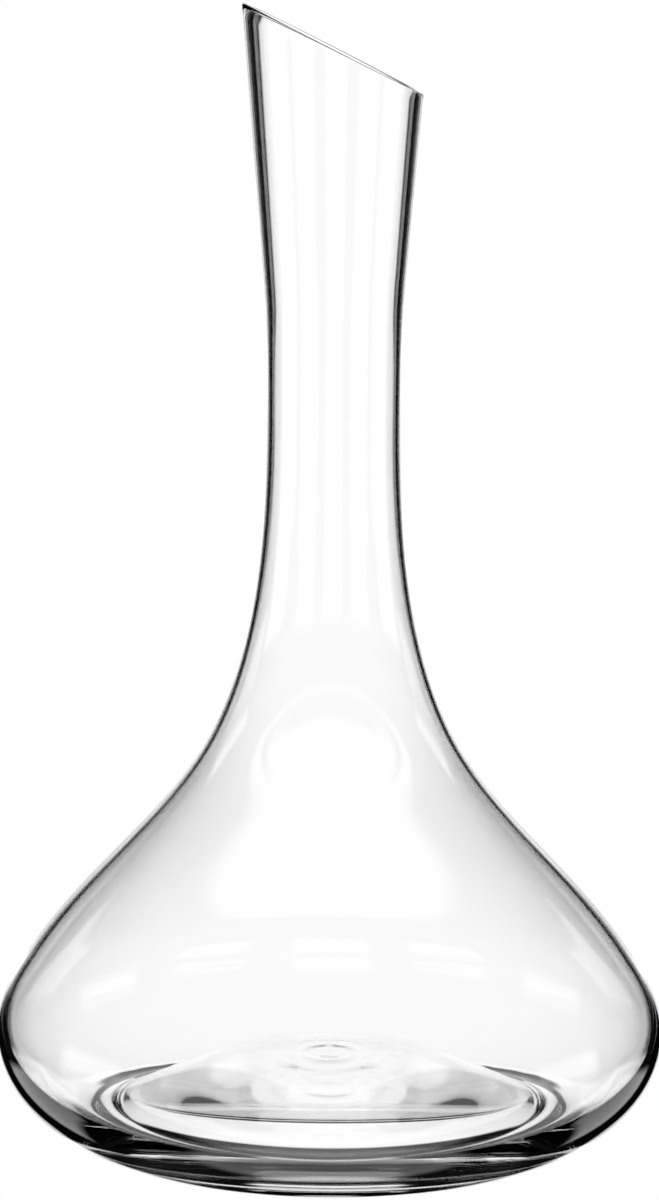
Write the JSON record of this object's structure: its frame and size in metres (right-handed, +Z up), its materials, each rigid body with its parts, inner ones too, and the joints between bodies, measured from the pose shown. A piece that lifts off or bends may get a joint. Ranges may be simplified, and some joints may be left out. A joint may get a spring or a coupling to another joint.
{
  "type": "wine decanter",
  "caption": "Clear glass wine decanter with a wide low bowl, a tall trumpet neck, a slanted fire-polished mouth and a thick domed base.",
  "frame": {"origin": "on the decanter's axis, on the surface that its foot ring stands on", "axes": "+Z up along the axis towards the mouth; the mouth's slanted cut is high at -X and low at +X"},
  "size_m": [0.202, 0.202, 0.344],
  "materials": {
    "clear_glass": "clear blown glass, fire-polished and smooth, thick and colourless at the base"
  },
  "bodies": {
    "root": {"decanter_body": "clear_glass"}
  },
  "joints": []
}
